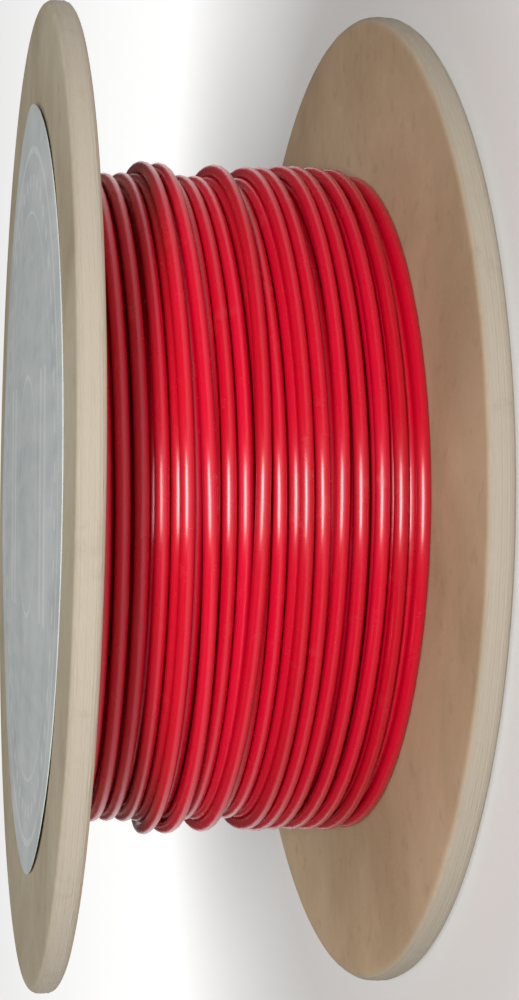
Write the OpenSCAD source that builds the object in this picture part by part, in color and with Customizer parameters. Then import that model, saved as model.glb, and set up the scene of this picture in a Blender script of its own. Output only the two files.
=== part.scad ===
// Wire spool: a fibreboard reel wound with 18-gauge insulated wire.
// The reel's axis is +Z. The origin is the centre of the lower flange's
// outer face, so the reel stands on that flange. Millimetres.

/* [Flanges] */
// Outside diameter of both flanges (6 1/2 in)
flange_d = 165.1; // [160:0.1:175]
// Thickness of a whole flange, board and both liners
flange_t = 4; // [3.4:0.1:5]
// Thickness of one kraft liner sheet glued on each side of the board
liner_t = 0.4; // [0.2:0.1:0.6]
// Clear width between the flanges (2 in)
traverse = 50.8; // [48:0.1:56]

/* [Barrel] */
// Outside diameter of the barrel that the wire is wound on
barrel_d = 94; // [92:0.5:98]
// Wall of the spiral-wound tube
tube_wall = 3.5; // [2.5:0.5:5]
// Thickness of the smooth kraft wrap glued round the tube
wrap_t = 0.5; // [0.3:0.1:0.8]
// Depth of the groove in each flange that seats the tube
groove_depth = 1.2; // [0.8:0.1:1.6]

/* [Arbor] */
// Diameter of the arbor hole (5/8 in)
arbor_d = 15.875; // [12:0.125:20]
// Wall of the steel ferrule that lines the arbor hole
ferrule_wall = 1.2; // [0.8:0.1:1.6]
// Diameter of the ferrule's collar, inside the barrel
collar_d = 26; // [24:1:32]
// Thickness of the collar
collar_t = 0.8; // [0.5:0.1:1.2]

/* [Tie bolts] */
// Number of bolts that clamp the flanges to the tube
bolt_n = 3; // [3:1:4]
// Radius of the circle that the bolts stand on
bolt_ring_r = 30; // [24:1:34]
// Bolt shank diameter
bolt_d = 4.8; // [4:0.1:5]
// Diameter of the flat bolt heads
head_d = 10; // [8:1:11]
// Thickness of the flat heads and of the tee nuts' plates, sunk flush
head_t = 1; // [0.8:0.1:1.2]
// Length of a tee nut's threaded barrel
nut_len = 9; // [8:1:12]
// Outside diameter of a tee nut's threaded barrel
nut_d = 7; // [6.6:0.1:8]
// Diameter of the washers under the bolt heads and of the tee nuts' plates
washer_d = 14; // [12:1:16]
// Thickness of the washers
washer_t = 0.6; // [0.4:0.1:0.8]

/* [Wire] */
// Outside diameter of the insulated wire (18 gauge)
wire_d = 2.25; // [2.1:0.05:2.4]
// Diameter of the stranded copper conductor
copper_d = 1.2; // [1:0.1:1.4]
// Turns in one full layer
turns = 21; // [20:1:22]
// Number of full layers
layers = 4; // [4:1:4]
// Radius of the bend where the wire goes in through the barrel wall
start_bend_r = 14; // [12:1:16]
// How much copper stands out of each cut end
copper_stub = 1.2; // [0.5:0.1:2]

/* [Label and tape] */
// Diameter of the round label on the upper flange
label_d = 129.5; // [110:0.5:140]
// How far the label is stuck on off the reel's centre
label_off = 1.2; // [0:0.1:2]
// Thickness of the label
label_t = 0.15; // [0.1:0.05:0.3]
// Width of the tape that holds the wire's outer end
tape_w = 12.7; // [10:0.1:16]
// Thickness of the tape
tape_t = 0.12; // [0.1:0.02:0.2]
// Arc that the tape covers, in degrees
tape_arc = 44; // [30:1:60]

/* [Hidden] */
$fn = 96;
// height of the reel without its label
reel_h = traverse + 2 * flange_t;
// radius of the tube's outer face, under the wrap
tube_r = barrel_d / 2 - wrap_t;
// centre radius of a turn in layer k, counted from 0, nested in the one below
layer_step = wire_d * 0.85;
function layer_r(k) = barrel_d / 2 + wire_d / 2 + k * layer_step;
// pitch of the turns along the reel
pitch = traverse / turns;
// outer radius of the last full layer, and of the part layer on top of it
full_r = layer_r(layers - 1) + wire_d / 2;
part_r = layer_r(layers) + wire_d / 2;
// turns that have a further turn lying on them, counted from the lower flange:
// a band next to the lower flange, one turn in the middle and three near the top
raised = [1, 2, 3, 4, 5, 10, 15, 16, 17];
function is_raised(i) = len([for (r = raised) if (r == i) r]) > 0;
// height at which the wire goes in through the barrel wall
start_z = flange_t + pitch / 2;
// angle round the reel where it goes in, at the back
start_a = 100;
// angles of the bend where the wire is wholly inside the wrap, and where it is cut
start_in = 39;
start_arc = 104;
// height and angle of the wire's outer end, under the tape
finish_z = flange_t + 3.5 * pitch;
finish_a = 92;
finish_arc = 26;
// how far behind the cut end the tape starts, in degrees
tape_from = 8;
// arc angle of the copper stubs on the two ends
finish_stub_a = copper_stub / layer_r(layers) * 180 / PI;
start_stub_a = copper_stub / start_bend_r * 180 / PI;

// ---------- helpers ----------

// flat ring from radius a to radius b, standing on z = 0
module ring(a, b, h) {
    difference() {
        cylinder(r = b, h = h);
        translate([0, 0, -1]) cylinder(r = a, h = h + 2);
    }
}

// puts its child on every place of the bolt circle
module on_bolts() {
    for (i = [0 : bolt_n - 1])
        rotate([0, 0, i * 360 / bolt_n + 30]) translate([bolt_ring_r, 0, 0]) children();
}

// mirrors a lower-flange shape to the upper flange
module to_upper() { translate([0, 0, reel_h]) mirror([0, 0, 1]) children(); }

// one sheet of a flange from z0 to z1, with the hole for the ferrule
module flange_sheet(z0, z1) {
    translate([0, 0, z0]) ring(arbor_d / 2 + ferrule_wall, flange_d / 2, z1 - z0);
}

// holes for the bolts: a sunk seat of the given depth, then a hole of diameter d
module bolt_cut(d, depth) {
    on_bolts() {
        translate([0, 0, -1]) cylinder(d = washer_d, h = 1 + depth, $fn = 48);
        translate([0, 0, -1]) cylinder(d = d, h = flange_t + 2, $fn = 48);
    }
}

// round groove that seats the tube's end
module tube_groove() {
    translate([0, 0, flange_t - groove_depth])
        ring(tube_r - tube_wall, tube_r, groove_depth + 1);
}

module flange_board(d, depth) {
    difference() {
        flange_sheet(liner_t, flange_t - liner_t);
        bolt_cut(d, depth);
        tube_groove();
    }
}
module flange_outer_liner(d, depth) {
    difference() {
        flange_sheet(0, liner_t);
        bolt_cut(d, depth);
    }
}
module flange_inner_liner(d, depth) {
    difference() {
        flange_sheet(flange_t - liner_t, flange_t);
        bolt_cut(d, depth);
        tube_groove();
    }
}

// steel lining of the arbor hole with its collar on the flange's inner face
module arbor_ferrule() {
    ring(arbor_d / 2, arbor_d / 2 + ferrule_wall, flange_t);
    translate([0, 0, flange_t]) ring(arbor_d / 2, collar_d / 2, collar_t);
}

// bent piece of round rod of diameter d, in a plane across the reel's axis:
// centred at radius c, bend radius r, from angle a over arc w
module bent_rod(d, r, a, w) {
    rotate([0, 0, a]) rotate_extrude(angle = w) translate([r, 0]) circle(d = d, $fn = 32);
}

// the wire's way in through the barrel wall, of diameter d and arc w from a
module start_route(d, a, w) {
    rotate([0, 0, start_a])
        translate([layer_r(0) - start_bend_r, 0, start_z])
            bent_rod(d, start_bend_r, a, w);
}

// ---------- flanges ----------

module lower_flange_board() {
    color([0.74, 0.67, 0.55]) flange_board(nut_d, head_t);
}
module lower_flange_outer_liner() {
    color([0.62, 0.55, 0.45]) flange_outer_liner(nut_d, head_t);
}
module lower_flange_inner_liner() {
    color([0.62, 0.55, 0.45]) flange_inner_liner(nut_d, head_t);
}
module upper_flange_board() {
    color([0.74, 0.67, 0.55]) to_upper() flange_board(bolt_d, head_t + washer_t);
}
module upper_flange_outer_liner() {
    color([0.62, 0.55, 0.45]) to_upper() flange_outer_liner(bolt_d, head_t + washer_t);
}
module upper_flange_inner_liner() {
    color([0.62, 0.55, 0.45]) to_upper() flange_inner_liner(bolt_d, head_t + washer_t);
}

// ---------- barrel ----------

module barrel_tube() {
    color([0.6, 0.5, 0.38]) difference() {
        translate([0, 0, flange_t - groove_depth])
            ring(tube_r - tube_wall, tube_r, traverse + 2 * groove_depth);
        start_route(wire_d + 0.5, 0, 100);
    }
}
module barrel_wrap() {
    color([0.7, 0.6, 0.46]) difference() {
        translate([0, 0, flange_t]) ring(tube_r, barrel_d / 2, traverse);
        start_route(wire_d + 0.5, -6, 106);
    }
}

// ---------- arbor and fasteners ----------

module lower_arbor_ferrule() { color("silver") arbor_ferrule(); }
module upper_arbor_ferrule() { color("silver") to_upper() arbor_ferrule(); }

// flat-headed bolts, heads sunk flush in the upper flange, tips inside the tee nuts
module tie_bolts() {
    color([0.75, 0.75, 0.78]) to_upper() on_bolts() {
        cylinder(d = head_d, h = head_t, $fn = 48);
        cylinder(d = bolt_d, h = reel_h - head_t - 0.5, $fn = 48);
    }
}
// washers in the sunk seats, between the bolt heads and the board
module tie_bolt_washers() {
    color([0.7, 0.7, 0.72]) to_upper() translate([0, 0, head_t]) on_bolts()
        ring(bolt_d / 2 + 0.1, washer_d / 2, washer_t, $fn = 48);
}
// tee nuts, plates sunk flush in the lower flange
module tee_nuts() {
    color([0.7, 0.68, 0.6]) on_bolts() difference() {
        union() {
            cylinder(d = washer_d, h = head_t, $fn = 48);
            cylinder(d = nut_d, h = nut_len, $fn = 48);
        }
        translate([0, 0, head_t]) cylinder(d = bolt_d + 0.1, h = nut_len, $fn = 48);
    }
}

// ---------- wire ----------

// outline of the outermost turns: one round crest per turn
function crest(i, s) =
    let (ro = is_raised(i) ? part_r : full_r, n = 6, u = s / n)
    [ro - wire_d / 2 + wire_d / 2 * sin(180 * (0.1 + 0.8 * u)),
     flange_t + (i + 0.5) * pitch - pitch / 2 * cos(180 * u) * 0.98];

// the wound layers, as the outer shape of the whole winding
module wire_winding() {
    color([0.82, 0.08, 0.16]) rotate_extrude(convexity = 8) polygon(concat(
        [[barrel_d / 2, flange_t]],
        [for (i = [0 : turns - 1]) for (s = [0 : 6]) crest(i, s)],
        [[barrel_d / 2, flange_t + traverse]]
    ));
}
// inner end of the wire: bends in through the barrel wall to its cut end
module wire_start_end() {
    color([0.82, 0.08, 0.16]) difference() {
        start_route(wire_d, start_in, start_arc - start_in);
        start_route(copper_d, start_arc - 30, 40);
    }
}
// outer end of the wire: the last stretch, lying on the turns below the tape
module wire_finish_end() {
    color([0.82, 0.08, 0.16]) difference() {
        translate([0, 0, finish_z])
            bent_rod(wire_d, layer_r(layers) + wire_d, finish_a, finish_arc);
        translate([0, 0, finish_z])
            bent_rod(copper_d, layer_r(layers) + wire_d, finish_a - 4, 16);
    }
}
// copper core of the wire at its inner end
module start_conductor() {
    color([0.8, 0.45, 0.28])
        start_route(copper_d, start_arc - 30, 30 + start_stub_a);
}
// copper core of the wire at its outer end
module finish_conductor() {
    color([0.8, 0.45, 0.28]) translate([0, 0, finish_z])
        bent_rod(copper_d, layer_r(layers) + wire_d, finish_a - finish_stub_a, 12 + finish_stub_a);
}

// ---------- label and tape ----------

// strip of tape over the outer end of the wire
module finish_tape() {
    color([0.86, 0.8, 0.62]) translate([0, 0, finish_z - tape_w / 2])
        rotate([0, 0, finish_a + tape_from]) rotate_extrude(angle = tape_arc)
            translate([layer_r(layers) + wire_d * 1.5 + 0.02, 0]) square([tape_t, tape_w]);
}
// round printed label glued on the upper flange, closing the arbor hole
module flange_label() {
    color([0.66, 0.68, 0.68]) translate([label_off, 0, reel_h]) cylinder(d = label_d, h = label_t);
}

lower_flange_board();
lower_flange_outer_liner();
lower_flange_inner_liner();
upper_flange_board();
upper_flange_outer_liner();
upper_flange_inner_liner();
barrel_tube();
barrel_wrap();
lower_arbor_ferrule();
upper_arbor_ferrule();
tie_bolts();
tie_bolt_washers();
tee_nuts();
wire_winding();
wire_start_end();
wire_finish_end();
start_conductor();
finish_conductor();
finish_tape();
flange_label();
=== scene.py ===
import bpy, bmesh, math, random
import numpy as np
from mathutils import Matrix, Vector
from mathutils.geometry import delaunay_2d_cdt


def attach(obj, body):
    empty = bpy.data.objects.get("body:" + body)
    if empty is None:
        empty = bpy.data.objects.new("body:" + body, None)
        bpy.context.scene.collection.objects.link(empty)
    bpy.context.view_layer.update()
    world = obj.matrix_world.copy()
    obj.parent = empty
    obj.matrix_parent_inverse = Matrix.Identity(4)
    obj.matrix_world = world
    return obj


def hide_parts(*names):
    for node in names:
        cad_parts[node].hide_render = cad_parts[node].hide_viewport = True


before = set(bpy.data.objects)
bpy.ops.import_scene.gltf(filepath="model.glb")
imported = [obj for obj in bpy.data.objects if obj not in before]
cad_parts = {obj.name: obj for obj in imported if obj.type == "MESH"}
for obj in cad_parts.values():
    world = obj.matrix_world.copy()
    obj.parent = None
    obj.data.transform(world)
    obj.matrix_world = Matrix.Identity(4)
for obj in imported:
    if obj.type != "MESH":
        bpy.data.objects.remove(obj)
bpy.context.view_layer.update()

MM = 0.001
# reel sizes, as the CAD has them (mm)
FR = 82.55            # flange radius
FT = 4.0              # flange thickness
LT = 0.4              # liner thickness
H = 58.8              # height without the label
BR = 47.0             # barrel radius
WD = 2.25             # wire diameter
PITCH = 50.8 / 21
START_Z = FT + PITCH / 2
START_A = 100.0       # degrees round the reel where the wire comes out of the barrel
BEND_R = 14.0
START_ARC = 104.0
FINISH_Z = FT + 3.5 * PITCH
FINISH_A = 92.0
COPPER = 1.2
LABEL_R = 64.75
LABEL_T = 0.15
LABEL_X = 1.2         # the label is stuck on this far off centre
BOLT_R = 30.0

# ------------------------------------------------------------------ camera
D = 0.1651
AZ, ROLL = math.radians(9.607), math.radians(0.429)
fwd = Vector((0, math.cos(AZ), -math.sin(AZ)))
right = Vector((0, -math.sin(AZ), -math.cos(AZ)))
up = Vector((1, 0, 0))
r2 = right * math.cos(ROLL) + up * math.sin(ROLL)
u2 = -right * math.sin(ROLL) + up * math.cos(ROLL)
eye = Vector((0, 0, H / 2 * MM)) - fwd * (1.9053 * D)
cam_data = bpy.data.cameras.new("camera")
cam_data.sensor_width = 36
cam_data.lens = 64.86
cam_data.shift_x = 0.0633
cam_data.shift_y = -0.0024
cam_data.clip_start = 0.01
cam = bpy.data.objects.new("camera", cam_data)
cam.matrix_world = Matrix((
    (r2.x, u2.x, -fwd.x, eye.x),
    (r2.y, u2.y, -fwd.y, eye.y),
    (r2.z, u2.z, -fwd.z, eye.z),
    (0, 0, 0, 1)))
bpy.context.collection.objects.link(cam)
bpy.context.scene.camera = cam


# ------------------------------------------------------------------ helpers
def make_object(name, verts, faces, smooth=True, uv=None):
    me = bpy.data.meshes.new(name)
    me.from_pydata([tuple(v) for v in verts], [], [tuple(f) for f in faces])
    me.update()
    if smooth:
        me.polygons.foreach_set("use_smooth", [True] * len(me.polygons))
    ob = bpy.data.objects.new(name, me)
    bpy.context.collection.objects.link(ob)
    return ob


def smooth_noise(seed, terms=5, low=1.0, high=6.0):
    """a smooth function of one number, about -1 to 1"""
    r = random.Random(seed)
    parts = [(r.uniform(low, high), r.uniform(0, 2 * math.pi), r.uniform(0.5, 1)) for _ in range(terms)]
    total = sum(p[2] for p in parts)
    return lambda x: sum(a * math.sin(f * x + ph) for f, ph, a in parts) / total * 1.6


def sharp_by_angle(ob, degrees=35):
    me = ob.data
    bm = bmesh.new()
    bm.from_mesh(me)
    for e in bm.edges:
        if len(e.link_faces) == 2 and e.calc_face_angle(0) > math.radians(degrees):
            e.smooth = False
    for f in bm.faces:
        f.smooth = True
    bm.to_mesh(me)
    bm.free()


# ------------------------------------------------------------------ the wire's path
NA = 72               # stations per turn
DC = 0.957 * WD       # how near two turns' centres come where they press on each other
Z_LO, Z_HI = FT + WD / 2 + 0.02, FT + 50.8 - WD / 2 - 0.02


def gauss(values, sigma):
    k = int(3 * sigma) + 1
    w = np.exp(-0.5 * (np.arange(-k, k + 1) / sigma) ** 2)
    w /= w.sum()
    padded = np.concatenate([np.full(k, values[0]), values, np.full(k, values[-1])])
    return np.convolve(padded, w, mode="valid")


def widest(values, k):
    padded = np.concatenate([np.full(k, values[0]), values, np.full(k, values[-1])])
    return np.max([padded[i:i + len(values)] for i in range(2 * k + 1)], axis=0)


def wind():
    """heights and radii of the whole winding, station by station"""
    sec = [[] for _ in range(NA)]
    zs, rs = [START_Z], []

    def lay(first, upto):
        """radii of the stations laid since first, by what each one rests on"""
        raw = []
        for n in range(first, upto):
            z, best = zs[n], BR + WD / 2
            for m in range(n % NA, n - NA // 3, NA):
                dz = abs(z - zs[m])
                if dz < DC:
                    rm = rs[m] if m < first else raw[m - first]
                    best = max(best, rm + math.sqrt(DC * DC - dz * dz))
            raw.append(best)
        r = gauss(widest(np.array(raw), 1), 2.2)
        if first:
            # the join with the layer below is eased over half a turn
            n = min(len(r), NA // 2)
            w = 0.5 - 0.5 * np.cos(np.linspace(0, math.pi, n))
            r[:n] = r[:n] * w + np.maximum(r[:n], rs[-1]) * (1 - w) if r[0] > rs[-1] else r[:n]
        rs.extend(r.tolist())

    wob = [smooth_noise(40 + k, 4, 0.6, 2.2) for k in range(5)]
    # four full layers, up and down
    for layer in range(4):
        first = len(zs) - (1 if layer == 0 else 0)
        way = 1 if layer % 2 == 0 else -1
        pitch = [2.275, 2.28, 2.275, 2.47][layer]
        spare = pitch - WD - 0.01
        z = zs[-1]
        dwell = 0
        while True:
            n = len(zs)
            t = n / NA
            g = spare * wob[layer](t * 2.1)
            if layer == 3:
                g = spare * (0.9 * wob[3](t * 3.0))
                # its first turns lie open, and fan apart and together on their way round
                since = (n - first) / NA
                if since < 3.6:
                    turn_a = math.radians(START_A - 360 * n / NA)
                    g += 0.32 + 0.42 * math.cos(turn_a - 0.5) * math.cos(since * 1.9)
            z += way * (pitch + g) / NA
            if (z >= Z_HI and way > 0) or (z <= Z_LO and way < 0):
                z = Z_HI if way > 0 else Z_LO
                dwell += 1
                stop = dwell > NA * 0.35
                if layer == 3:
                    stop = stop and n % NA == NA - 1
                zs.append(z)
                if stop:
                    break
                continue
            zs.append(z)
        # turns lean a little, all alike near each other
        lay(first, len(zs))

    # what lies on the fourth layer: four turns by the lower flange, single turns
    # further up, then back down; each moves over at the back of the reel
    first = len(zs)
    levels = [8.5, 11.6, 14.6, 17.3, 29.2, 37.0, 40.3, 22.8, 20.3, 12.47]
    tilt = [0.15, -0.1, 0.25, -0.2, -0.9, 1.3, 0.8, 0.3, 0.4, 0]
    jitter = smooth_noise(77, 5, 1.5, 5.0)
    total = int(round((len(levels) - 1 + (START_A - FINISH_A) / 360) * NA))
    z_from = zs[-1]
    for i in range(total + 1):
        t = i / NA
        k = min(int(t), len(levels) - 1)
        f = t - k
        a, b = levels[k], levels[min(k + 1, len(levels) - 1)]
        if k == 0 and f < 0.12:
            a0 = z_from
            s = f / 0.12
            a = a0 + (levels[0] - a0) * (3 * s * s - 2 * s ** 3)
        # moves over between 0.8 of this turn and 0.2 of the next
        span = 0.17 + 0.006 * abs(b - a)

        def ease(u):
            u = min(max(u, 0.0), 1.0)
            return u * u * (3 - 2 * u)
        z = a
        if f > 1 - span:
            z = a + (b - a) * 0.5 * ease((f - 1 + span) / span) * 1.0
        if k > 0 and f < span:
            p = levels[k - 1]
            span_p = 0.17 + 0.006 * abs(levels[k] - p)
            if f < span_p:
                z = levels[k] - (levels[k] - p) * 0.5 * (1 - ease(f / span_p))
        if k < len(levels) - 1:
            lean = math.sin(math.pi * min(max((f - 0.0), 0), 1)) * 1.0
            z += lean * (tilt[k] * math.cos(2 * math.pi * (f - 0.25)) + 0.12 * jitter(t * 2.4))
        zs.append(min(max(z, Z_LO), Z_HI))
    lay(first, len(zs))
    return np.array(zs), np.array(rs[:len(zs)])


def wire_points():
    zs, rs = wind()
    pts = []
    # the inner end, from its cut end out to where it starts round the barrel
    c = Vector((math.cos(math.radians(START_A)), math.sin(math.radians(START_A)))) * (BR + WD / 2 - BEND_R)
    steps = 26
    for i in range(steps):
        a = math.radians(START_A + START_ARC * (1 - i / steps))
        pts.append((c.x + BEND_R * math.cos(a), c.y + BEND_R * math.sin(a), START_Z))
    for n, (z, r) in enumerate(zip(zs, rs)):
        a = math.radians(START_A - 360 * n / NA)
        pts.append((r * math.cos(a), r * math.sin(a), z))
    return np.array(pts), zs, rs


PTS, ZS, RS = wire_points()
# the cut end lies exactly where the last station is
LENGTH = float(np.linalg.norm(np.diff(PTS, axis=0), axis=1).sum()) * MM
print("wire centreline", round(LENGTH, 3), "m,", round(len(ZS) / NA, 1), "turns, radius to", round(RS.max(), 2))


def build_wire(pts, sides=14):
    n = len(pts)
    t = np.zeros_like(pts)
    t[1:-1] = pts[2:] - pts[:-2]
    t[0] = pts[1] - pts[0]
    t[-1] = pts[-1] - pts[-2]
    t /= np.linalg.norm(t, axis=1)[:, None]
    zax = np.array([0, 0, 1.0])
    b = zax - (t @ zax)[:, None] * t
    b /= np.linalg.norm(b, axis=1)[:, None]
    nn = np.cross(t, b)
    verts, faces = [], []
    ang = np.linspace(0, 2 * math.pi, sides, endpoint=False)
    ring = np.stack([np.cos(ang), np.sin(ang)], 1)
    swell = smooth_noise(5, 5, 0.3, 1.7)

    def add_ring(i, r, along=0.0):
        base = pts[i] + t[i] * along
        k = len(verts)
        for cx, cy in ring:
            verts.append(tuple((base + nn[i] * cx * r + b[i] * cy * r) * MM))
        return k

    def join(k0, k1):
        for s in range(sides):
            s2 = (s + 1) % sides
            faces.append((k0 + s, k0 + s2, k1 + s2, k1 + s))

    hole = COPPER / 2 + 0.03
    # start: floor of the hole, hole wall, cut face, then the skin
    chain = [add_ring(0, hole, 2.5), add_ring(0, hole, 0.04), add_ring(0, hole + 0.04, 0.0),
             add_ring(0, WD / 2 - 0.08, 0.0), add_ring(0, WD / 2, 0.08)]
    faces.append(tuple(range(chain[0], chain[0] + sides)))
    for i in range(1, n - 1):
        chain.append(add_ring(i, WD / 2 * (1 + 0.006 * swell(i * 0.21))))
    chain += [add_ring(n - 1, WD / 2, -0.08), add_ring(n - 1, WD / 2 - 0.08, 0.0), add_ring(n - 1, hole + 0.04, 0.0),
              add_ring(n - 1, hole, -0.04), add_ring(n - 1, hole, -2.5)]
    for a, c in zip(chain, chain[1:]):
        join(a, c)
    faces.append(tuple(reversed(range(chain[-1], chain[-1] + sides))))
    return verts, faces, t, nn, b


verts, faces, TAN, NOR, BIN = build_wire(PTS)
wire = make_object("wire", verts, faces)
sharp_by_angle(wire, 50)
bm = bmesh.new(); bm.from_mesh(wire.data)
bmesh.ops.recalc_face_normals(bm, faces=bm.faces)
bm.to_mesh(wire.data); bm.free()
# a coordinate that runs along the wire, for its colour to vary by
att = wire.data.attributes.new("along", "FLOAT", "POINT")
SIDES = 14
run = np.concatenate([[0], np.cumsum(np.linalg.norm(np.diff(PTS, axis=0), axis=1))]) * MM
idx = [0] * 5 + list(range(1, len(PTS) - 1)) + [len(PTS) - 1] * 5
att.data.foreach_set("value", np.repeat(run[idx], SIDES).astype(np.float32))
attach(wire, "root")
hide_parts("wire_winding", "wire_start_end", "wire_finish_end")


# ------------------------------------------------------------------ strands at the cut ends
def strands(name, i, out):
    """the copper that shows at a cut end: 19 twisted strands, from inside the hole to just proud of the cut"""
    base, t, n, b = PTS[i], TAN[i] * out, NOR[i], BIN[i]
    rs_ = 0.12
    places = [(0, 0)]
    places += [(0.245 * math.cos(a), 0.245 * math.sin(a)) for a in np.linspace(0, 2 * math.pi, 6, endpoint=False)]
    places += [(0.475 * math.cos(a + 0.2), 0.475 * math.sin(a + 0.2)) for a in np.linspace(0, 2 * math.pi, 12, endpoint=False)]
    r = random.Random(9 + i)
    verts, faces = [], []
    for px, py in places:
        end = 1.2 + r.uniform(-0.25, 0.1)
        flare = 1 + 0.10 * r.random()
        prev = None
        stations = [(-2.2, 1), (-1.0, 1), (0.0, 1), (end * 0.5, (1 + flare) / 2), (end - 0.03, flare), (end, flare)]
        for k, (s, fl) in enumerate(stations):
            tw = 0.5 * s
            x, y = px * math.cos(tw) - py * math.sin(tw), px * math.sin(tw) + py * math.cos(tw)
            x, y = x * fl, y * fl
            rad = rs_ * (0.8 if k == len(stations) - 1 else 1)
            start = len(verts)
            for a in np.linspace(0, 2 * math.pi, 8, endpoint=False):
                p = base + t * s + n * (x + rad * math.cos(a)) + b * (y + rad * math.sin(a))
                verts.append(tuple(p * MM))
            if prev is None:
                faces.append(tuple(range(start, start + 8)))
            else:
                for q in range(8):
                    faces.append((prev + q, prev + (q + 1) % 8, start + (q + 1) % 8, start + q))
            prev = start
        faces.append(tuple(reversed(range(prev, prev + 8))))
    ob = make_object(name, verts, faces)
    bm = bmesh.new(); bm.from_mesh(ob.data)
    bmesh.ops.recalc_face_normals(bm, faces=bm.faces)
    bm.to_mesh(ob.data); bm.free()
    sharp_by_angle(ob, 50)
    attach(ob, "root")
    return ob


start_strands = strands("start_strands", 0, -1)
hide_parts("start_conductor")
finish_strands = strands("finish_strands", len(PTS) - 1, 1)
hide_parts("finish_conductor")


# ------------------------------------------------------------------ flanges
def ramp(r):
    u = min(max((r - 46.0) / (FR - 46.0), 0), 1)
    return u * u * (3 - 2 * u)


warp_a, warp_b = smooth_noise(301, 3, 1, 3), smooth_noise(302, 3, 1, 3)


def warp(x, y, which):
    """how far a flange stands off flat at a place: board that size is never quite flat (mm)"""
    r = math.hypot(x, y)
    a = math.atan2(y, x)
    k = ramp(r)
    if which == "upper":
        return k * (-0.62 * x / FR + 0.10 * math.sin(2 * a + 0.7) + 0.05 * math.sin(3 * a))
    return k * (0.62 * max(x, 0) ** 2 / FR ** 2 + 0.05 * (1 + math.sin(3 * a + 0.4)))


edge_1, edge_2 = smooth_noise(11, 7, 6, 40), smooth_noise(12, 9, 30, 110)


def sheet_mesh(name, which, z0, z1, profile, holes, r_in):
    """a round sheet from z0 to z1 with holes; profile is the rim from its lower edge to its upper edge,
    as (radius, height); r_in is the radius of the middle hole"""
    seg = 288
    R0 = 38.0
    verts, faces = [], []
    circ = [(math.cos(2 * math.pi * i / seg), math.sin(2 * math.pi * i / seg)) for i in range(seg)]
    pts2, edges = [], []

    def loop(cx, cy, r, n):
        k = len(pts2)
        for i in range(n):
            a = 2 * math.pi * i / n
            pts2.append(Vector((cx + r * math.cos(a), cy + r * math.sin(a))))
        edges.extend((k + i, k + (i + 1) % n) for i in range(n))
        return k, n
    outer = loop(0, 0, R0, seg)
    inner = [loop(0, 0, r_in, 64)] + [loop(cx, cy, r, 40) for cx, cy, r in holes]
    vs, es, fs, _, _, _ = delaunay_2d_cdt(pts2, edges, [], 1, 1e-5)
    def inside(p):
        if p.length < r_in - 1e-4 or p.length > R0 + 1e-4:
            return False
        return all((p - Vector((cx, cy))).length > r - 1e-4 for cx, cy, r in holes)
    keep = [f for f in fs if inside(sum((Vector(vs[i]) for i in f), Vector((0, 0))) / len(f))]
    nv = len(vs)
    for z in (z0, z1):
        verts.extend((v[0], v[1], z) for v in vs)
    for f in keep:
        faces.append(tuple(reversed(f)))
        faces.append(tuple(i + nv for i in f))
    # walls of the holes: every edge that only one kept face has, apart from the outer circle
    count = {}
    for f in keep:
        for i in range(len(f)):
            e = (f[i], f[(i + 1) % len(f)])
            count[tuple(sorted(e))] = count.get(tuple(sorted(e)), []) + [e]
    outer_ids = {}
    for e, uses in count.items():
        if len(uses) == 1:
            a, b = uses[0]
            if Vector(vs[a]).length > R0 - 0.02 and Vector(vs[b]).length > R0 - 0.02:
                outer_ids[a] = outer_ids[b] = True
                continue
            faces.append((a, b, b + nv, a + nv))
    ring_ids = sorted(outer_ids, key=lambda i: math.atan2(vs[i][1], vs[i][0]) % (2 * math.pi))
    if len(ring_ids) != seg:
        raise RuntimeError(f"{name}: {len(ring_ids)} points on the join circle")
    radii = [44, 50, 56, 62, 67, 71, 74, 76.5, 78.2, 79.6, 80.6]
    chain = [ring_ids]

    def add(r_of, z_of):
        k = len(verts)
        for i, (cx, cy) in enumerate(circ):
            a = 2 * math.pi * i / seg
            r = r_of(a)
            verts.append((cx * r, cy * r, z_of(a)))
        chain.append(list(range(k, k + seg)))
    for r in radii:
        add(lambda a, r=r: r, lambda a: z0)
    for r, z, rough in profile:
        add(lambda a, r=r, z=z, rough=rough: r + rough * (0.05 * edge_1(a) + 0.05 * edge_2(a + z * 0.37) + 0.03 * edge_2(2.3 * a + z * 1.7)),
            lambda a, z=z: z)
    for r in reversed(radii):
        add(lambda a, r=r: r, lambda a: z1)
    chain.append([i + nv for i in ring_ids])
    for a, b in zip(chain, chain[1:]):
        for i in range(seg):
            j = (i + 1) % seg
            faces.append((a[i], a[j], b[j], b[i]))
    out = [((x) * MM, (y) * MM, (z + warp(x, y, which)) * MM) for x, y, z in verts]
    ob = make_object(name, out, faces)
    bm = bmesh.new(); bm.from_mesh(ob.data)
    bmesh.ops.recalc_face_normals(bm, faces=bm.faces)
    bm.to_mesh(ob.data); bm.free()
    sharp_by_angle(ob, 32)
    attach(ob, "root")
    return ob


def bolt_places(r):
    out = []
    for k in range(3):
        a = math.radians(30 + 120 * k)
        out.append((BOLT_R * math.cos(a), BOLT_R * math.sin(a), r))
    return out


def rim_profile(z0, z1, low_round, high_round, rough):
    """from the lower face out over the rim and back; a rounding of 1.35 at the flange's outside edges"""
    pts = []
    er = 1.35

    def back(z, flip):
        # how far the rounded edge lies inside the rim at height z from the face
        if z >= er:
            return 0.0
        return er - math.sqrt(max(er * er - (er - z) ** 2, 0))
    n = 7 if z1 - z0 < 1 else 18
    for i in range(n + 1):
        z = z0 + (z1 - z0) * i / n
        r = FR - 0.10
        if low_round is not None:
            r -= back(z - low_round, False)
        if high_round is not None:
            r -= back(high_round - z, True)
        wob = rough
        if rough > 0.9:
            # plies show as faint ridges round the rim
            r += 0.028 * math.sin((z - z0) * 2 * math.pi / 0.62)
        pts.append((r, z, wob))
    return pts


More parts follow.
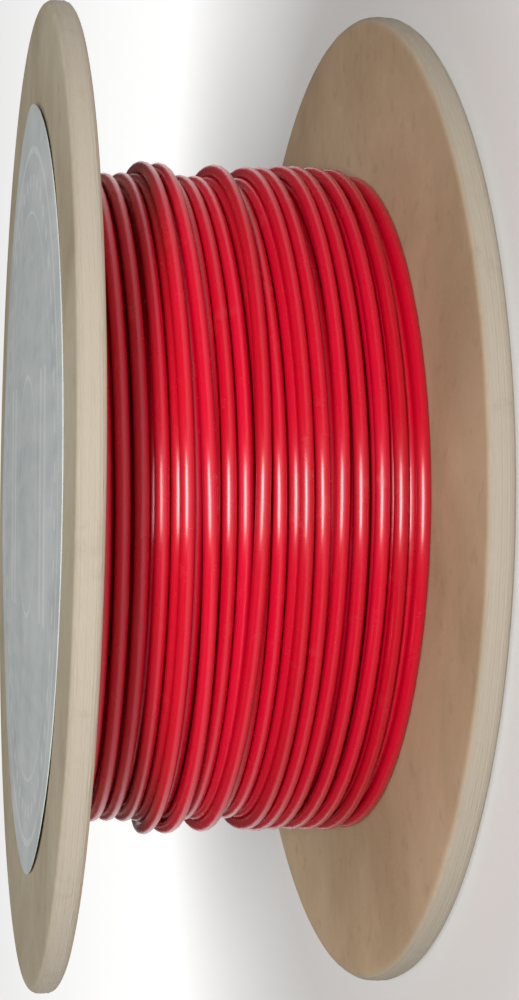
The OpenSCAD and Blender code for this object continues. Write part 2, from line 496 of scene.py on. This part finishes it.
FERRULE = 15.875 / 2 + 1.2
pieces = {}
for which, flip in (("lower", False), ("upper", True)):
    def zz(a, b):
        return (H - b, H - a) if flip else (a, b)
    lo, hi = (H - FT, H) if flip else (0, FT)
    outer = zz(0, LT); board = zz(LT, FT - LT); inner = zz(FT - LT, FT)
    wide, thin = 7.0, (2.4 if flip else 3.5)
    for part, (a, b), holes, rough in (
            ("outer_liner", outer, bolt_places(wide), 0.6),
            ("board", board, bolt_places(thin), 1.0),
            ("inner_liner", inner, bolt_places(thin), 0.6)):
        ob = sheet_mesh(f"{which}_{part}", which, a, b, rim_profile(a, b, lo, hi, rough), holes, FERRULE)
        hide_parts(f"{which}_flange_{part}")
        pieces[f"{which}_{part}"] = ob


# ------------------------------------------------------------------ label
def build_label():
    seg, rings = 360, [0, 4, 8, 14, 20, 26, 32, 38, 44, 50, 54, 57, 59.5, 61.2, 62.6, 63.6, 64.3, LABEL_R]

    def lift(a, r):
        """the paper's edge has come up a little at two places"""
        out = 0
        for mid, wide_, high in ((-16, 26, 0.62), (208, 24, 0.5), (95, 18, 0.25)):
            d = (math.degrees(a) - mid + 180) % 360 - 180
            out += high * math.exp(-(d / wide_) ** 2)
        u = min(max((r - 52) / 12, 0), 1)
        return out * u * u
    bub = smooth_noise(21, 6, 2, 9)

    def place(r, a, z):
        x, y = r * math.cos(a) + LABEL_X, r * math.sin(a)
        w = warp(x, y, "upper") + lift(a, r)
        w += 0.012 * (1 + bub(a + r * 0.13)) * min(r / 10, 1) * (1 if r < 63 else 0.3)
        return (x * MM, y * MM, (z + w) * MM)
    verts, faces = [], []
    tops, bots = [], []
    for z, store in ((H + LABEL_T, tops), (H + 0.004, bots)):
        for r in rings:
            k = len(verts)
            if r == 0:
                verts.append(place(0, 0, z))
                store.append([k] * seg)
            else:
                for i in range(seg):
                    a = 2 * math.pi * i / seg
                    rr = r + (0.03 * edge_2(a * 0.5) if r > 63 else 0)
                    verts.append(place(rr, a, z))
                store.append(list(range(k, k + seg)))
    for store, flip in ((tops, False), (bots, True)):
        for a, b in zip(store, store[1:]):
            for i in range(seg):
                j = (i + 1) % seg
                f = [a[i], b[i], b[j], a[j]]
                f = list(dict.fromkeys(f))
                faces.append(tuple(reversed(f)) if flip else tuple(f))
    for i in range(seg):
        j = (i + 1) % seg
        faces.append((tops[-1][i], bots[-1][i], bots[-1][j], tops[-1][j]))
    ob = make_object("label", verts, faces)
    bm = bmesh.new(); bm.from_mesh(ob.data)
    bmesh.ops.recalc_face_normals(bm, faces=bm.faces)
    bm.to_mesh(ob.data); bm.free()
    sharp_by_angle(ob, 40)
    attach(ob, "root")
    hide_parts("flange_label")
    return ob


label = build_label()


# ------------------------------------------------------------------ tape over the outer end
def build_tape():
    a0, a1 = FINISH_A + 8, FINISH_A + 52
    na, nz = 45, 60
    z_mid, width = FINISH_Z, 12.7
    n = len(ZS)
    grid = np.zeros((na, nz))
    zg = np.linspace(z_mid - width / 2, z_mid + width / 2, nz)
    for i in range(na):
        a = a0 + (a1 - a0) * i / (na - 1)
        # stations of every turn at this angle
        f = ((START_A - a) % 360) / 360 * NA
        secz, secr = [], []
        while f < n - 1:
            k = int(f); w = f - k
            secz.append(ZS[k] * (1 - w) + ZS[k + 1] * w)
            secr.append(RS[k] * (1 - w) + RS[k + 1] * w)
            f += NA
        secz, secr = np.array(secz), np.array(secr)
        for j, z in enumerate(zg):
            dz = np.abs(secz - z)
            ok = dz < WD / 2
            top = (secr[ok] + np.sqrt((WD / 2) ** 2 - dz[ok] ** 2)).max() if ok.any() else 50
            grid[i, j] = top
    # it lies over the highest of what is next to it, so that no turn comes through
    grid = np.array([widest(row, 1) for row in grid])
    grid = np.array([widest(col, 1) for col in grid.T]).T
    # the tape bridges the valleys between turns
    for _ in range(3):
        hull = grid.copy()
        for i in range(na):
            row = grid[i]
            for s in range(nz):
                for e in range(s + 2, min(s + 21, nz)):
                    line = row[s] + (row[e] - row[s]) * (np.arange(s, e + 1) - s) / (e - s)
                    hull[i, s:e + 1] = np.maximum(hull[i, s:e + 1], line - 0.012 * (e - s) * np.sin(np.pi * (np.arange(s, e + 1) - s) / (e - s)))
        grid = hull
    for i in range(nz):
        grid[:, i] = np.maximum(grid[:, i], gauss(grid[:, i], 1.5))
    r = random.Random(4)
    verts, faces = [], []
    for off in (0.05, 0.17):
        for i in range(na):
            jag = 0.25 * (r.random() - 0.5)
            for j in range(nz):
                a = a0 + (a1 - a0) * i / (na - 1)
                if i in (0, na - 1):
                    # torn with a serrated edge
                    a += (0.5 if (j % 4) < 2 else 0.0) * (1 if i else -1)
                a = math.radians(a)
                rr = grid[i, j] + off
                verts.append((rr * math.cos(a) * MM, rr * math.sin(a) * MM, zg[j] * MM))
    q = na * nz
    for i in range(na - 1):
        for j in range(nz - 1):
            a, b, c, d = i * nz + j, (i + 1) * nz + j, (i + 1) * nz + j + 1, i * nz + j + 1
            faces.append((a, b, c, d))
            faces.append((a + q, d + q, c + q, b + q))
    border = [(i, 0) for i in range(na)] + [(na - 1, j) for j in range(1, nz)] + \
             [(i, nz - 1) for i in range(na - 2, -1, -1)] + [(0, j) for j in range(nz - 2, 0, -1)]
    ids = [i * nz + j for i, j in border]
    for a, b in zip(ids, ids[1:] + ids[:1]):
        faces.append((a, b, b + q, a + q))
    ob = make_object("tape", verts, faces)
    bm = bmesh.new(); bm.from_mesh(ob.data)
    bmesh.ops.recalc_face_normals(bm, faces=bm.faces)
    bm.to_mesh(ob.data); bm.free()
    sharp_by_angle(ob, 50)
    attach(ob, "root")
    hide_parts("finish_tape")
    return ob


tape = build_tape()


# ------------------------------------------------------------------ materials
def lin(r, g, b):
    return tuple(((c / 255) / 12.92 if c / 255 <= 0.04045 else ((c / 255 + 0.055) / 1.055) ** 2.4) for c in (r, g, b)) + (1.0,)


class Mat:
    def __init__(self, name, rough=0.5, metallic=0.0):
        self.m = bpy.data.materials.new(name)
        self.m.use_nodes = True
        self.t = self.m.node_tree
        self.b = self.t.nodes["Principled BSDF"]
        self.b.inputs["Roughness"].default_value = rough
        self.b.inputs["Metallic"].default_value = metallic

    def node(self, kind, **values):
        n = self.t.nodes.new(kind)
        for k, v in values.items():
            if k in n.inputs:
                n.inputs[k].default_value = v
            else:
                setattr(n, k, v)
        return n

    def link(self, a, b):
        self.t.links.new(a, b)

    def coord(self, scale=(1, 1, 1)):
        tc = self.node("ShaderNodeTexCoord")
        mp = self.node("ShaderNodeMapping")
        mp.inputs["Scale"].default_value = scale
        self.link(tc.outputs["Object"], mp.inputs["Vector"])
        return mp.outputs["Vector"]

    def noise(self, vec, scale, detail=4, rough=0.55, dist=0.0):
        n = self.node("ShaderNodeTexNoise")
        n.inputs["Scale"].default_value = scale
        n.inputs["Detail"].default_value = detail
        n.inputs["Roughness"].default_value = rough
        n.inputs["Distortion"].default_value = dist
        self.link(vec, n.inputs["Vector"])
        return n.outputs["Fac"]

    def ramp(self, fac, stops):
        n = self.node("ShaderNodeValToRGB")
        el = n.color_ramp.elements
        el[0].position, el[0].color = stops[0]
        el[1].position, el[1].color = stops[-1]
        for p, c in stops[1:-1]:
            e = el.new(p)
            e.color = c
        self.link(fac, n.inputs["Fac"])
        return n.outputs["Color"]

    def mix(self, fac, a, b, mode="MIX"):
        n = self.node("ShaderNodeMix", data_type="RGBA", blend_type=mode)
        for sock, v in ((n.inputs[0], fac), (n.inputs[6], a), (n.inputs[7], b)):
            if hasattr(v, "is_linked"):
                self.link(v, sock)
            else:
                sock.default_value = v
        return n.outputs[2]

    def math(self, op, a, b=None, c=None, clamp=False):
        n = self.node("ShaderNodeMath", operation=op)
        n.use_clamp = clamp
        for i, v in enumerate((a, b, c)):
            if v is None:
                continue
            if hasattr(v, "is_linked"):
                self.link(v, n.inputs[i])
            else:
                n.inputs[i].default_value = v
        return n.outputs[0]

    def fit(self, v, a, b, c, d):
        n = self.node("ShaderNodeMapRange")
        self.link(v, n.inputs["Value"])
        for k, x in zip(("From Min", "From Max", "To Min", "To Max"), (a, b, c, d)):
            n.inputs[k].default_value = x
        return n.outputs["Result"]

    def bump(self, height, strength, distance, normal=None):
        n = self.node("ShaderNodeBump")
        n.inputs["Strength"].default_value = strength
        n.inputs["Distance"].default_value = distance
        self.link(height, n.inputs["Height"])
        if normal is not None:
            self.link(normal, n.inputs["Normal"])
        return n.outputs["Normal"]

    def out(self, color=None, rough=None, normal=None):
        if color is not None:
            self.link(color, self.b.inputs["Base Color"])
        if rough is not None:
            self.link(rough, self.b.inputs["Roughness"])
        if normal is not None:
            self.link(normal, self.b.inputs["Normal"])
        return self.m


def wire_material():
    m = Mat("red_pvc", 0.3)
    m.b.inputs["Specular IOR Level"].default_value = 0.6
    # the die leaves fine lines along the wire, which spread a highlight across it
    m.b.inputs["Anisotropic"].default_value = 0.8
    m.b.inputs["Anisotropic Rotation"].default_value = 0.25
    a = m.node("ShaderNodeAttribute")
    a.attribute_name = "along"
    v = m.coord()
    # slow change of shade along the wire, a fine haze, and dusty scuffs here and there
    n1 = m.node("ShaderNodeTexNoise", noise_dimensions="1D")
    n1.inputs["Scale"].default_value = 2.2
    n1.inputs["Detail"].default_value = 3
    m.link(a.outputs["Fac"], n1.inputs["W"])
    base = m.ramp(n1.outputs["Fac"], [(0.3, WIRE_DARK), (0.5, WIRE_MID), (0.72, WIRE_LIGHT)])
    haze = m.noise(v, 70, 2, 0.5)
    scuff = m.noise(v, 160, 5, 0.65)
    dust = m.fit(scuff, 0.60, 0.76, 0.0, 0.16)
    col = m.mix(dust, base, (0.50, 0.10, 0.10, 1))
    rough = m.math("ADD", m.fit(haze, 0.3, 0.7, 0.25, 0.29), m.math("MULTIPLY", dust, 0.9))
    nrm = m.bump(m.noise(v, 110, 2, 0.5), 0.3, 0.00008)
    return m.out(col, rough, nrm)


WIRE_DARK = lin(184, 2, 31)
WIRE_MID = lin(193, 3, 37)
WIRE_LIGHT = lin(202, 5, 43)


def board_material(name, tones, rim, grain=1.0, ply=0.0, edge_wear=True):
    """pressed board and its kraft facing: mottled, with fibres, paler where the rim is rubbed"""
    m = Mat(name, 0.8)
    m.b.inputs["Specular IOR Level"].default_value = 0.3
    v = m.coord()
    big = m.noise(v, 26, 4, 0.6, 0.4)
    mid = m.noise(v, 140, 5, 0.65)
    fine = m.noise(m.coord((1, 1, 2.2)), 1500, 4, 0.7)
    col = m.ramp(big, [(0.32, tones[0]), (0.5, tones[1]), (0.68, tones[2])])
    col = m.mix(m.fit(mid, 0.35, 0.7, 0.0, 0.35), col, tones[3])
    # small darker blotches in the paper
    spots = m.fit(m.noise(v, 330, 2, 0.5), 0.60, 0.72, 0.0, 0.26)
    col = m.mix(spots, col, tuple(c * 0.72 for c in tones[0][:3]) + (1,))
    # short dark and pale fibres
    fib = m.node("ShaderNodeTexVoronoi", feature="DISTANCE_TO_EDGE")
    fib.inputs["Scale"].default_value = 420
    m.link(m.coord((1, 0.35, 1)), fib.inputs["Vector"])
    fleck = m.fit(fib.outputs["Distance"], 0.0, 0.05, 0.22, 0.0)
    col = m.mix(m.math("MULTIPLY", fleck, m.fit(fine, 0.45, 0.62, 0.0, 1.0)), col, tones[0])
    col = m.mix(m.fit(fine, 0.35, 0.72, 0.0, 0.22 * grain), col, tones[2])
    # the rim and the last millimetre of the faces are paler, and soiled in places
    geo = m.node("ShaderNodeSeparateXYZ")
    m.link(v, geo.inputs[0])
    rad = m.math("SQRT", m.math("ADD", m.math("MULTIPLY", geo.outputs[0], geo.outputs[0]),
                                m.math("MULTIPLY", geo.outputs[1], geo.outputs[1])))
    wob = m.fit(m.noise(v, 300, 3, 0.6), 0, 1, -0.0006, 0.0006)
    edge = m.fit(m.math("ADD", rad, wob), 0.0811, 0.0823, 0.0, 1.0)
    col = m.mix(m.math("MULTIPLY", edge, 0.92 if edge_wear else 0.0), col, rim)
    stain = m.math("MULTIPLY", edge, m.fit(m.noise(v, 75, 5, 0.7, 0.6), 0.56, 0.72, 0.0, 0.45))
    col = m.mix(stain, col, tones[0])
    height = m.math("ADD", m.math("MULTIPLY", fine, 0.5), m.math("MULTIPLY", mid, 0.6))
    if ply:
        lines = m.node("ShaderNodeTexWave", wave_type="BANDS", bands_direction="Z", wave_profile="SIN")
        lines.inputs["Scale"].default_value = 820
        lines.inputs["Distortion"].default_value = 1.6
        lines.inputs["Detail"].default_value = 3
        lines.inputs["Detail Scale"].default_value = 1.2
        m.link(m.coord((0.12, 0.12, 1)), lines.inputs["Vector"])
        col = m.mix(m.math("MULTIPLY", m.fit(lines.outputs["Fac"], 0.0, 0.35, 1.0, 0.0), m.math("MULTIPLY", edge, ply)), col, tones[1])
        height = m.math("ADD", height, m.math("MULTIPLY", lines.outputs["Fac"], 0.25))
    nrm = m.bump(height, 0.55 * grain, 0.00012)
    return m.out(col, m.fit(mid, 0.3, 0.7, 0.74, 0.9), nrm)


KRAFT_OUT = [lin(164, 152, 127), lin(184, 172, 149), lin(197, 187, 165), lin(174, 162, 137)]
# painted light: the inner liners are the same kraft as the outer ones, made warmer and redder for the red light the
# wire throws back onto them
KRAFT_IN_RED_BOUNCE = [lin(169, 149, 119), lin(189, 168, 139), lin(203, 183, 154), lin(180, 158, 128)]
RIM = lin(166, 156, 142)
outer_mat = board_material("kraft_outer", KRAFT_OUT, RIM)
inner_bounce_mat = board_material("kraft_inner_red_bounce", KRAFT_IN_RED_BOUNCE, RIM)
BOARD = [lin(138, 126, 108), lin(156, 145, 127), lin(168, 158, 141), lin(149, 137, 117)]
board_mat = board_material("fibreboard", BOARD, RIM, 1.4, 0.1)
for key, ob in pieces.items():
    ob.data.materials.append(board_mat if key.endswith("board") else inner_bounce_mat if "inner" in key else outer_mat)
wire.data.materials.append(wire_material())


def label_material():
    m = Mat("label_paper", 0.6, 0.0)
    m.b.inputs["Specular IOR Level"].default_value = 0.1
    v = m.coord()
    sep = m.node("ShaderNodeSeparateXYZ")
    m.link(v, sep.inputs[0])
    x, y = sep.outputs[0], sep.outputs[1]
    rad = m.math("SQRT", m.math("ADD", m.math("MULTIPLY", x, x), m.math("MULTIPLY", y, y)))
    ang = m.math("ARCTAN2", y, x)

    def band(value, lo, hi, soft):
        up_ = m.fit(value, lo - soft, lo + soft, 0.0, 1.0)
        down = m.fit(value, hi - soft, hi + soft, 1.0, 0.0)
        return m.math("MULTIPLY", up_, down)
    base = m.ramp(m.noise(v, 34, 4, 0.6), [(0.3, lin(187, 193, 195)), (0.7, lin(211, 217, 218))])
    streak = m.noise(m.coord((1.0, 0.18, 1.0)), 260, 4, 0.65)
    base = m.mix(m.fit(streak, 0.4, 0.7, 0.0, 0.4), base, lin(224, 228, 228))
    pale, dark = lin(234, 237, 237), lin(150, 157, 161)
    # plain printed pattern: two rings, a row of dots between them, and four plain bars
    ring1 = band(rad, 0.0580, 0.0592, 0.00012)
    ring2 = band(rad, 0.0480, 0.0485, 0.00010)
    ring3 = band(rad, 0.0200, 0.0208, 0.00010)
    dots = m.math("MULTIPLY", band(m.math("FRACT", m.math("MULTIPLY", ang, 48 / (2 * math.pi))), 0.30, 0.70, 0.03), band(rad, 0.0525, 0.0545, 0.0001))
    bars = m.math("MULTIPLY", band(m.math("FRACT", m.math("MULTIPLY", y, 1 / 0.008)), 0.30, 0.72, 0.02),
                  m.math("MULTIPLY", band(y, -0.0420, -0.0260, 0.0001), band(x, -0.0200, 0.0200, 0.0001)))
    bars2 = m.math("MULTIPLY", band(m.math("FRACT", m.math("MULTIPLY", y, 1 / 0.008)), 0.30, 0.72, 0.02),
                   m.math("MULTIPLY", band(y, 0.0260, 0.0420, 0.0001), band(x, -0.0200, 0.0200, 0.0001)))
    col = m.mix(m.math("MULTIPLY", ring1, 0.5), base, pale)
    for f in (ring2, ring3, dots, bars, bars2):
        col = m.mix(m.math("MULTIPLY", f, 0.5), col, pale)
    # scuffs
    rub = m.fit(m.noise(m.coord((0.35, 1, 1)), 420, 5, 0.7), 0.62, 0.72, 0.0, 0.35)
    col = m.mix(rub, col, dark)
    rough = m.fit(m.noise(v, 120, 4, 0.6), 0.3, 0.7, 0.56, 0.70)
    nrm = m.bump(m.noise(v, 60, 4, 0.6), 0.35, 0.00018)
    return m.out(col, rough, nrm)


label.data.materials.append(label_material())


def metal_material(name, color, rough, scale=500):
    m = Mat(name, rough, 1.0)
    v = m.coord()
    n = m.noise(v, scale, 4, 0.6)
    cloud = m.noise(v, 90, 3, 0.6)
    col = m.ramp(cloud, [(0.3, tuple(c * 0.82 for c in color[:3]) + (1,)), (0.7, color)])
    r = m.fit(n, 0.3, 0.7, rough - 0.07, rough + 0.1)
    return m.out(col, r, m.bump(n, 0.2, 0.00003))


zinc = metal_material("zinc_steel", lin(190, 190, 186), 0.34)
copper = metal_material("bare_copper", lin(214, 138, 98), 0.26, 1800)
for node in ("lower_arbor_ferrule", "upper_arbor_ferrule", "tie_bolts", "tie_bolt_washers", "tee_nuts"):
    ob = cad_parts[node]
    ob.data.materials.clear() if not ob.material_slots else None
    if ob.material_slots:
        for s in ob.material_slots:
            s.material = zinc
    else:
        ob.data.materials.append(zinc)
for ob in (start_strands, finish_strands):
    ob.data.materials.append(copper)


def tube_material(name, tones, slope):
    """kraft wound on the skew: the joint of each turn of paper shows as a fine line"""
    m = Mat(name, 0.78)
    v = m.coord()
    sep = m.node("ShaderNodeSeparateXYZ")
    m.link(v, sep.inputs[0])
    ang = m.math("ARCTAN2", sep.outputs[1], sep.outputs[0])
    skew = m.math("ADD", m.math("MULTIPLY", ang, 0.5 / math.pi), m.math("MULTIPLY", sep.outputs[2], slope))
    line = m.fit(m.math("ABSOLUTE", m.math("SUBTRACT", m.math("FRACT", skew), 0.5)), 0.485, 0.5, 0.0, 0.6)
    base = m.ramp(m.noise(v, 60, 5, 0.65), [(0.3, tones[0]), (0.7, tones[1])])
    base = m.mix(m.fit(m.noise(v, 900, 4, 0.7), 0.4, 0.7, 0.0, 0.3), base, tones[1])
    col = m.mix(line, base, tuple(c * 0.5 for c in tones[0][:3]) + (1,))
    return m.out(col, m.fit(m.noise(v, 200, 3, 0.6), 0.3, 0.7, 0.7, 0.86), m.bump(m.noise(v, 900, 4, 0.7), 0.3, 0.0001))


for node, mat in (("barrel_tube", tube_material("tube_kraft", (lin(150, 122, 88), lin(172, 144, 108)), 14.0)),
                  ("barrel_wrap", tube_material("wrap_kraft", (lin(176, 154, 122), lin(190, 170, 138)), 11.0))):
    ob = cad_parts[node]
    if ob.material_slots:
        for s in ob.material_slots:
            s.material = mat
    else:
        ob.data.materials.append(mat)


def tape_material():
    m = Mat("masking_tape", 0.62)
    v = m.coord()
    crepe = m.noise(m.coord((1, 1, 0.25)), 1300, 4, 0.65)
    col = m.ramp(m.noise(v, 90, 4, 0.6), [(0.3, lin(206, 186, 138)), (0.7, lin(222, 205, 160))])
    col = m.mix(m.fit(crepe, 0.4, 0.65, 0.0, 0.35), col, lin(190, 168, 120))
    return m.out(col, m.fit(crepe, 0.3, 0.7, 0.52, 0.7), m.bump(crepe, 0.6, 0.00012))


tape.data.materials.append(tape_material())

# ------------------------------------------------------------------ floor and light
def floor_material():
    m = Mat("studio_floor", 0.9)
    v = m.coord()
    col = m.ramp(m.noise(v, 3, 2, 0.5), [(0.2, (0.66, 0.66, 0.66, 1)), (0.8, (0.68, 0.68, 0.68, 1))])
    m.b.inputs["Specular IOR Level"].default_value = 0.1
    # painted light: the pale floor glows, a little near the reel and more further off, alike on all sides; the dim ring
    # round the reel is a painted soft shadow
    sep = m.node("ShaderNodeSeparateXYZ")
    m.link(v, sep.inputs[0])
    rad = m.math("SQRT", m.math("ADD", m.math("MULTIPLY", sep.outputs[0], sep.outputs[0]),
                                m.math("MULTIPLY", sep.outputs[1], sep.outputs[1])))
    m.b.inputs["Emission Color"].default_value = (1, 1, 1, 1)
    m.link(m.fit(rad, 0.10, 0.24, FLOOR_NEAR, FLOOR_FAR), m.b.inputs["Emission Strength"])
    return m.out(col)


# glow of the floor near the reel (painted soft shadow) and further off (painted light)
FLOOR_NEAR, FLOOR_FAR = 0.12, 0.72
floor = make_object("floor", [(-6, -6, 0), (6, -6, 0), (6, 6, 0), (-6, 6, 0)], [(0, 1, 2, 3)], False)
floor.data.materials.append(floor_material())


def area(name, place, target, size_x, size_y, watts, color=(1, 1, 1), roll=0.0):
    d = bpy.data.lights.new(name, "AREA")
    d.shape = "RECTANGLE"
    d.size, d.size_y = size_x, size_y
    d.energy = watts
    d.color = color
    ob = bpy.data.objects.new(name, d)
    place, target = Vector(place), Vector(target)
    z = (place - target).normalized()
    x = Vector((1, 0, 0)) if abs(z.x) < 0.9 else Vector((0, 1, 0))
    y = z.cross(x).normalized()
    x = y.cross(z).normalized()
    ob.matrix_world = Matrix(((x.x, y.x, z.x, place.x), (x.y, y.y, z.y, place.y), (x.z, y.z, z.z, place.z), (0, 0, 0, 1)))
    bpy.context.collection.objects.link(ob)
    return ob


KEY_EL = math.radians(21.3)
TOP_W = 2.0
key_d = 1.5
mid = (0, 0, 0.03)
area("key", (0.0, -key_d * math.cos(KEY_EL), 0.03 + key_d * math.sin(KEY_EL)), mid, 0.54, 0.20, 23.3, (1.0, 0.985, 0.96))

area("top", (-0.30, -0.1, 0.90), (0, 0, 0.03), 0.6, 0.6, TOP_W, (1.0, 0.985, 0.96))

world = bpy.data.worlds.new("studio")
world.use_nodes = True
world.node_tree.nodes["Background"].inputs["Color"].default_value = (1.0, 1.0, 1.0, 1)
world.node_tree.nodes["Background"].inputs["Strength"].default_value = 0.06
bpy.context.scene.world = world
bpy.context.scene.view_settings.view_transform = "Standard"

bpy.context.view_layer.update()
